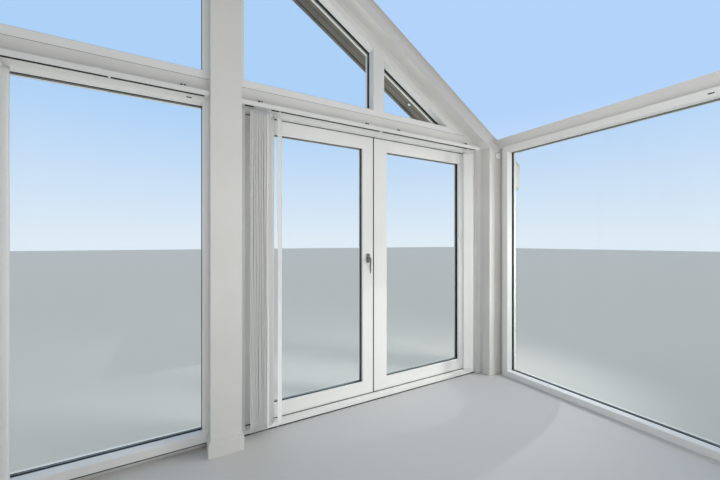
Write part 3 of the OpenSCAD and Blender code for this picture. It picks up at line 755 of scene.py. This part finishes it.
slot_shade_strips, end_plates, clips, screws = [], [], [], []
for x0, x1, z, screw_parts, clip_part, clip_half in (door_rail, near_rail, far_rail):
    front, back, foot = RAIL_FRONT + RAIL_WALL, RAIL_BACK - RAIL_WALL, z + RAIL_WALL
    step, head = z + LINER_STEP, z + LINER_TOP
    # The liner is painted shade: a black sheet inside the rail, where its hollow is in shadow.
    shade_liner = [(front, foot), (front + LINER_T, foot), (front + LINER_T, step)]
    shade_liner += [(back - LINER_T, step), (back - LINER_T, foot), (back, foot)]
    shade_liner += [(back, head), (front, head)]
    slot_shade_strips.append(along_x(x0 + 0.001, x1 - 0.001, shade_liner))
    # The lips are real glide lips, drawn wide and black so that they paint the slot's shade too.
    for near, far in ((-LIP_HALF, -STEM_HALF), (STEM_HALF, LIP_HALF)):
        lip = rectangle(RAIL_MID_Y + near, z - 0.0012, RAIL_MID_Y + far, z + 0.0016)
        slot_shade_strips.append(along_x(x0 + PLUG_L, x1 - PLUG_L, lip))
    plug = rail_section(LIP_HALF, z - 0.0008, z + 0.0020)
    clips += [along_x(x0, x0 + PLUG_L, plug), along_x(x1 - PLUG_L, x1, plug)]
    cap = rectangle(RAIL_FRONT - END_PROUD, z - END_PROUD, RAIL_BACK + END_PROUD, z + END_TOP)
    end_plates.append(along_x(x0 - END_OUT, x0 + END_IN, cap))
    end_plates.append(along_x(x1 - END_IN, x1 + END_OUT, cap))
    middle = x0 + clip_part * (x1 - x0)
    cross = rail_section(CROSS_HALF, z - 0.0024, z + 0.0004)
    clips.append(along_x(middle - clip_half, middle + clip_half, cross))
    # The screw caps are real, drawn large and dark so that they also paint the bracket tongue's
    # shade.
    for part in screw_parts:
        for apart in (-SCREW_APART, SCREW_APART):
            x = x0 + part * (x1 - x0) + apart
            screws.append(disc(x, SCREW_FRONT, FACE_Y + 0.0004, z + SCREW_UP, SCREW_R))
piece("rail_slot_shade", slot_shade_strips, seal_rubber, "gable")
piece("rail_end_plates", end_plates, rail_plastic, "gable")
piece("rail_clips", clips, rail_plastic, "gable")
piece("bracket_caps_and_shade", screws, dark_trim, "gable")

# %% [markdown]
# ## Lever
# The lever is one forged bar: a round neck, a tight elbow and a flattened grip that narrows a
# little and ends in a soft point. A bevelled curve would keep one section from end to end, so the
# bar is a tube along a quarter circle between two straights, whose two radii change on the way.

# %% Lever
HANDLE_X, HANDLE_Z = 1.0655, 1.100
NECK_START, GRIP_Y, ELBOW, LEVER_L = LEAF_Y - 0.003, 0.012, 0.011, 0.119
NECK_R, GRIP_T, GRIP_W, GRIP_BOW, GRIP_TAPER = 0.0078, 0.0048, 0.0084, 0.004, 0.14
NECK_N, BEND_N, GRIP_N = 5, 14, 29


def tube(path, radius, across, sides):
    """A capped tube on a flat path: rings of radius (n, 2) between the path's plane and across."""
    tangent = np.gradient(path, axis=0)
    tangent /= np.linalg.norm(tangent, axis=1, keepdims=True)
    normal = np.cross(across, tangent)
    turn = np.linspace(0, 2 * math.pi, sides, endpoint=False)
    ring = (
        path[:, None]
        + radius[:, None, :1] * np.cos(turn)[None, :, None] * normal[:, None]
        + radius[:, None, 1:] * np.sin(turn)[None, :, None] * np.asarray(across)[None, None]
    )
    n = len(path)
    faces = grid_faces(n, sides, wrap_cols=True)
    return ring.reshape(-1, 3), faces + [range(sides), range((n - 1) * sides, n * sides)]


def lever():
    """Neck out from the rose, a quarter turn of radius ELBOW, and a grip that hangs straight
    down. Its radii go from a circle to an ellipse in the bend and to a point at the tip."""
    neck_y = np.linspace(NECK_START, GRIP_Y + ELBOW, NECK_N + 1)[:-1]
    neck = np.stack([neck_y, np.full(NECK_N, HANDLE_Z)], 1)
    quarter = np.linspace(0, math.pi / 2, BEND_N)
    bend_y = GRIP_Y + ELBOW * (1 - np.sin(quarter))
    bend = np.stack([bend_y, HANDLE_Z - ELBOW * (1 - np.cos(quarter))], 1)
    drop = np.linspace(0, 1, GRIP_N + 1)[1:]
    grip_y = GRIP_Y + GRIP_BOW * np.sin(math.pi * drop) ** 2
    grip = np.stack([grip_y, HANDLE_Z - ELBOW - (LEVER_L - ELBOW) * drop], 1)
    yz = np.concatenate([neck, bend, grip])
    path = np.concatenate([np.full((len(yz), 1), HANDLE_X), yz], axis=1)
    flat = np.concatenate([np.zeros(NECK_N), np.linspace(0, 1, BEND_N), np.ones(GRIP_N)])
    point = np.sqrt(np.maximum(1 - drop**9, 0.0016))
    tip = np.concatenate([np.ones(NECK_N + BEND_N), point])
    in_plane = (NECK_R + (GRIP_T - NECK_R) * flat) * tip
    sideways = (NECK_R + (GRIP_W - NECK_R) * flat) * tip
    sideways[NECK_N + BEND_N :] *= 1 - GRIP_TAPER * drop
    return tube(path, np.stack([in_plane, sideways], 1), np.array([1.0, 0, 0]), 24)


door_lever = piece("door_lever_bar", [lever()], steel, "lever", smooth=True)
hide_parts("door_lever")

# %% [markdown]
# ## Seals and locks of the doors
# A bulb of black rubber, carried round the edge of the stops, fills the 5 mm between each leaf and
# the stop that it closes against. Where the leaves meet, the left one carries a steel lock plate
# and the right one a seal, each a few upright blocks.

# %% Door seals and lock plate
STOP_FACE, BULB_FACE = 0.050, 0.0547
stop_edge = rectangle(0.128, 0.035, 2.137, 2.055)
bulb = [
    (0.0035, STOP_FACE - 0.0015),
    (0.0042, STOP_FACE + 0.0020),
    (0.0030, BULB_FACE),
    (-0.0075, BULB_FACE),
    (-0.009, STOP_FACE),
    (-0.001, STOP_FACE),
]
piece("door_frame_seal", [run_round(stop_edge, bulb, from_row)], seal_rubber, "gable")


def strip_block(x0, x1, y, z, arris=0.0005):
    """An upright bevelled block from x0 to x1, with y and z as pairs."""
    return plate(rectangle(x0, z[0], x1, z[1]), *y, arris, from_row)


LOCK_T, LOCK_Y, LOCK_Z = 0.0015, (0.076, 0.092), (0.25, 1.85)
BOLT_T, BOLT_Y, BOLT_FEET, BOLT_H = 0.0022, (0.080, 0.088), (0.45, 1.02, 1.58), 0.035
SEAL_Z = (LEAF_Z0 + 0.01, LEAF_Z1 - 0.01)
left_edge, right_edge = MEETING_X - LEAF_GAP / 2, MEETING_X + LEAF_GAP / 2
lock_plate = [strip_block(left_edge, left_edge + LOCK_T, LOCK_Y, LOCK_Z, 0.0003)]
for z in BOLT_FEET:
    bolt = strip_block(left_edge, left_edge + BOLT_T, BOLT_Y, (z, z + BOLT_H), 0.0003)
    lock_plate.append(bolt)
piece("lock_plate", lock_plate, steel, "left_leaf")
meeting_seal = [
    strip_block(right_edge - 0.006, right_edge, (0.057, 0.063), SEAL_Z),
    strip_block(right_edge - 0.002, right_edge, (0.103, 0.108), SEAL_Z),
]
piece("meeting_seal", meeting_seal, seal_rubber, "right_leaf")

# %% [markdown]
# Thin lines of sealant close the joints along both edges of the transoms. A black strip under the
# threshold and under the lower windows is painted shadow: it draws the dark shade line at the
# floor. A joint or shade line that is only a colour would belong to no edge, so each is a thin
# strip. A small sensor box sits on the corner casing.

# %% Joints and the sensor box
POST_EDGE, JOINT_H = 0.086, 0.0016
SENSOR_FACE, CASING_FACE = -0.152, -0.130


def sealant_and_shade_strip(x0, x1, y, z, high, proud=0.0005):
    """A strip along X, standing a little proud of the faces at y that it joins: sealant on the
    transoms, painted shadow at the floor.
    """
    return along_x(x0, x1, rectangle(y - proud, z, y + 0.002, z + high))


joints = [
    sealant_and_shade_strip(side * POST_EDGE, side * reach, FACE_Y, z - JOINT_H / 2, JOINT_H)
    for z, reach in ((TRANSOM_TOP, TOE_X), (FRAME_TOP, POST_X - 0.001))
    for side in (-1, 1)
]
piece("sealant_lines", joints, grey_sealant, "gable")
# Painted shadow: black strips at the threshold's foot and under the lower windows' frames.
floor_shadow_strips = [
    sealant_and_shade_strip(-POST_X, -POST_EDGE, FACE_Y, PLINTH - 0.0060, 0.0055, -0.0015),
    sealant_and_shade_strip(CORE_X, POST_X, 0.0, 0.0, 0.0070, 0.0012),
]
piece("floor_shadow_strips", floor_shadow_strips, seal_rubber, "gable")
sensor_box = rectangle(2.338, 2.000, 2.377, 2.048)
sensor = plate(sensor_box, SENSOR_FACE, CASING_FACE, 0.004, from_row)
lens = disc(2.3575, SENSOR_FACE - 0.0012, SENSOR_FACE + 0.001, 2.012, 0.004)
piece("casing_sensor", [sensor, lens], white_upvc, "gable")

# %% [markdown]
# ## The verge seen from outside
# The soffit is three narrow boards, so two dark joints run down the slope under it. Dark trim caps
# the felt along the barge board and at the eaves, each sheet of felt laps over the one below, and
# a strip of it folds over the ridge. Two screws hold the barge board to each bearer. The strips
# are drawn along X and let down by the roof's slope, so they lie on the boards exactly.

# %% Soffit joints, trim and laps
SOFFIT_LINE, ROOF_TOP_LINE, BARGE_Y, EAVES_X = 3.4699, 3.7168, 0.349, 2.840
BOARD_JOINTS_Y, BOARD_GAP = (0.184, 0.256), 0.004
TRIM_Y, TRIM_IN, TRIM_OUT, TRIM_DROP, TRIM_UP = BARGE_Y - 0.045, 0.0002, 0.0030, 0.055, 0.004
EAVES_TRIM_W, STRIP_UP, STRIP_IN = 0.05, 0.003, 0.001
LAP_Y0, LAP_Y1, LAP_W, RIDGE_UP, RIDGE_W = -0.027, BARGE_Y - 0.046, 0.03, 0.0045, 0.150
LAPS_X, BEARERS_X = (0.86, 1.68, 2.50), [0.034] + [0.5815 + 0.559 * k for k in range(5)]
SCREW_DROPS, BARGE_SCREW_R = (0.09, 0.18), 0.0045
SOFFIT_Y0, BOARD_TALL, END_T = 0.113, 0.22, 0.002


def down_slope(section, x0, x1, side):
    """A (Y, height over the centre line) section drawn from x0 to x1, with every point let down to
    the roof's slope, on the left side (-1) or the right side (1)."""
    points, faces = along_x(x0, x1, section)
    points[:, 2] = line_z(points[:, 2], points[:, 0])
    points[:, 0] *= side
    return points, faces


def on_felt(y0, y1, high, x0, x1, side):
    """A strip that stands high above the felt and is let a little into it."""
    section = rectangle(y0, ROOF_TOP_LINE - STRIP_IN, y1, ROOF_TOP_LINE + high)
    return down_slope(section, x0, x1, side)


inner, outer = BARGE_Y + TRIM_IN, BARGE_Y + TRIM_OUT
verge_cap = [(TRIM_Y, ROOF_TOP_LINE - STRIP_IN), (inner, ROOF_TOP_LINE - STRIP_IN)]
verge_cap += [(inner, ROOF_TOP_LINE - TRIM_DROP), (outer, ROOF_TOP_LINE - TRIM_DROP)]
verge_cap += [(outer, ROOF_TOP_LINE + TRIM_UP), (TRIM_Y, ROOF_TOP_LINE + TRIM_UP)]
foot, head = line_z(SOFFIT_LINE, EAVES_X), line_z(SOFFIT_LINE + BOARD_TALL, EAVES_X)
board_end = rectangle(SOFFIT_Y0, foot, BARGE_Y - 0.001, head)
soffit_joints, trim, laps, barge_screws, end_boards = [], [], [], [], []
for side in (-1, 1):
    for y in BOARD_JOINTS_Y:
        gap = rectangle(y, SOFFIT_LINE - 0.0008, y + BOARD_GAP, SOFFIT_LINE + 0.001)
        soffit_joints.append(down_slope(gap, 0.02, EAVES_X - 0.01, side))
    trim.append(down_slope(verge_cap, 0.001, EAVES_X, side))
    trim.append(on_felt(-0.026, TRIM_Y, STRIP_UP, EAVES_X - EAVES_TRIM_W, EAVES_X, side))
    laps.append(on_felt(LAP_Y0, LAP_Y1, RIDGE_UP, 0.0005, RIDGE_W, side))
    laps += [on_felt(LAP_Y0, LAP_Y1, STRIP_UP, x - LAP_W, x, side) for x in LAPS_X]
    for x in BEARERS_X:
        for z in [line_z(ROOF_TOP_LINE - drop, x) for drop in SCREW_DROPS]:
            screw = disc(side * x, BARGE_Y - 0.0005, BARGE_Y + 0.0012, z, BARGE_SCREW_R)
            barge_screws.append(screw)
    end_boards.append(along_x(side * EAVES_X, side * (EAVES_X + END_T), board_end))
piece("verge_end_boards", end_boards, brown_stain, "gable")
piece("soffit_joints", soffit_joints, seal_rubber, "gable")
piece("roof_trim", trim, dark_trim, "gable")
piece("felt_laps", laps, felt, "gable")
piece("barge_screws", barge_screws, steel, "gable")

# %% [markdown]
# A small spotlight sits in the soffit at the photo's bright dot: a steel bezel round an opal lens.
# Both are profiles turned about an upright line and sheared with the soffit, so that they lie in
# it.

# %% Spotlight in the soffit
SPOT_X, SPOT_Y = 1.628, 0.253
spot_turn = np.linspace(0, 2 * math.pi, 32, endpoint=False)


def spot_ring(profile):
    """A (radius, depth below the soffit) profile turned about the spot's middle, closed on
    itself."""
    profile = np.asarray(profile, float)
    out = profile[:, None, 0]
    x = SPOT_X + out * np.cos(spot_turn)[None, :]
    y = SPOT_Y + out * np.sin(spot_turn)[None, :]
    z = line_z(SOFFIT_LINE, x) - profile[:, None, 1]
    points = np.stack([x, y, z], axis=-1)
    faces = grid_faces(len(profile), len(spot_turn), wrap_rows=True, wrap_cols=True)
    return points.reshape(-1, 3), faces


bezel = [(0.022, -0.002), (0.022, 0.002), (0.020, 0.004)]
bezel += [(0.016, 0.0045), (0.014, 0.003), (0.014, -0.002)]
piece("soffit_spot_bezel", [spot_ring(bezel)], steel, "gable", smooth=True)
opal = [(0.0138, -0.001), (0.0138, 0.0015), (0.008, 0.0032), (0.0005, 0.0038), (0.0005, -0.001)]
piece("soffit_spot_lens", [spot_ring(opal)], lens_plastic, "gable", smooth=True)

# %% [markdown]
# Small caps hide the drain slots on the outer faces of the fixed frames, and a short black slot
# shows in the heads of the side window and of the near window. The CAD frames stay uncut, so the
# slots are dark plates that stand a little proud.

# %% Drain caps and head slots
OUT_Y = FACE_Y + FRAME_DEPTH
DRAIN_HALF, DRAIN_FOOT, DRAIN_TOP = 0.018, 0.018, 0.028


def drain_cap(a, foot, face, place):
    """A bevelled cap on the outer face of a frame whose lower edge is at foot."""
    slot = rectangle(a - DRAIN_HALF, foot + DRAIN_FOOT, a + DRAIN_HALF, foot + DRAIN_TOP)
    return plate(slot, face - 0.0005, face + 0.0035, 0.0015, place)


caps = [drain_cap(x, PLINTH, OUT_Y, from_row) for x in (-0.35, -0.85, -1.36, -1.95)]
caps += [drain_cap(y, 0.0, FRAME_DEPTH, on_side) for y in (-0.55, -1.95)]
piece("drain_caps", caps, white_upvc, "gable")
side_slot = rectangle(-1.549, 2.0660, -1.522, 2.0725)
near_slot = rectangle(-0.2025, 2.0600, -0.1755, 2.0660)
head_slots = [plate(side_slot, -0.0007, 0.0005, 0.0002, on_side)]
head_slots.append(plate(near_slot, FACE_Y - 0.0007, FACE_Y + 0.0005, 0.0002, from_row))
piece("head_slots", head_slots, seal_rubber, "gable")

# %% [markdown]
# ## Studio
# The floor is one plain pale sheet that meets the sky far off. It lies a millimetre under the
# part's feet, so that the two never share a plane.

# %% Floor
FLOOR_HALF, FLOOR_Z = 60, -0.001
floor_mesh = bpy.data.meshes.new("floor")
floor_edge = rectangle(-FLOOR_HALF, -FLOOR_HALF, FLOOR_HALF, FLOOR_HALF)
floor_mesh.from_pydata([(x, y, FLOOR_Z) for x, y in floor_edge.tolist()], [], [(0, 1, 2, 3)])
floor = bpy.data.objects.new("floor", floor_mesh)
bpy.context.scene.collection.objects.link(floor)
floor_material, floor_tree = new_finish("pale_floor")
coat(floor_tree, {"Base Color": linear("#d2d2d1"), "Roughness": 0.6})
floor_mesh.materials.append(floor_material)

# %% [markdown]
# The world is a pale sky for what the camera, glass and metal see, and a soft light, brighter
# outside (+Y) than in the room, for everything else. Five wide lamps shape it: two beyond the side
# window give it its direction, one fills the room, and two lie low and throw light up, as pale
# ground does. A sun would be shorter to write, but would draw hard patches.

# %% World and lamps
bpy.context.scene.view_settings.view_transform = "Standard"
world = bpy.data.worlds.new("studio")
bpy.context.scene.world = world
world.use_nodes = True
tree = world.node_tree
tree.nodes.clear()
direction = add_node(tree, "ShaderNodeTexCoord").outputs["Generated"]
axes = add_node(tree, "ShaderNodeSeparateXYZ", {"Vector": direction}).outputs
sky = ramp_between(tree, axes["Z"], "#e6eef9", "#b3d3fb", 0.0, 0.34)
seen = add_node(tree, "ShaderNodeBackground", {"Color": sky, "Strength": 1.0}).outputs[0]
level = number_between(tree, axes["Y"], 0.34, 1.15, -0.6, 0.6, interpolation_type="SMOOTHSTEP")
daylight = {"Color": linear("#faf9f7"), "Strength": level}
soft = add_node(tree, "ShaderNodeBackground", daylight).outputs[0]
ray = add_node(tree, "ShaderNodeLightPath").outputs
either = combined(tree, "MAXIMUM", ray["Is Camera Ray"], ray["Is Glossy Ray"])
direct = combined(tree, "MAXIMUM", either, ray["Is Transmission Ray"])
mix = add_node(tree, "ShaderNodeMixShader", {0: direct, 1: soft, 2: seen}).outputs[0]
add_node(tree, "ShaderNodeOutputWorld", {"Surface": mix})


def lamp(name, at, aim, size, power, hex_code, spread=180):
    """A square area lamp that faces its aim, with its light kept to a spread in degrees. It tilts
    by the angle between its way to the aim and straight down."""
    data = bpy.data.lights.new(name, "AREA")
    data.shape, data.size, data.energy = "SQUARE", size, power
    data.spread = math.radians(spread)
    data.color = linear(hex_code)[:3]
    made = bpy.data.objects.new(name, data)
    bpy.context.scene.collection.objects.link(made)
    towards = np.subtract(aim, at)
    made.location = at
    made.visible_camera = made.visible_glossy = made.visible_transmission = False
    tilt = math.acos(-towards[2] / np.linalg.norm(towards))
    made.rotation_euler = (tilt, 0, math.atan2(towards[1], towards[0]) - math.pi / 2)
    print("lamp", name, "at", at, "of", power, "W")


lamp("side_window", (3.5, -1.6, 1.5), (2.1, 0.0, 0.8), 0.8, 10, "#fffaf3", 90)
lamp("low_sun", (4.8, -2.9, 2.6), (1.3, 0.0, 0.3), 1.4, 7, "#fffaf3", 36)
lamp("room_fill", (0.9, -5.5, 1.5), (0.7, 0.0, 0.8), 2.4, 6, "#fffdf9", 65)
lamp("floor_bounce", (0.6, -3.0, 0.03), (0.6, -3.0, 2.0), 2.4, 48, "#fffdfa")
lamp("outside_bounce", (0.4, 2.6, 0.03), (0.4, 2.6, 2.0), 2.4, 60, "#fffdfa")
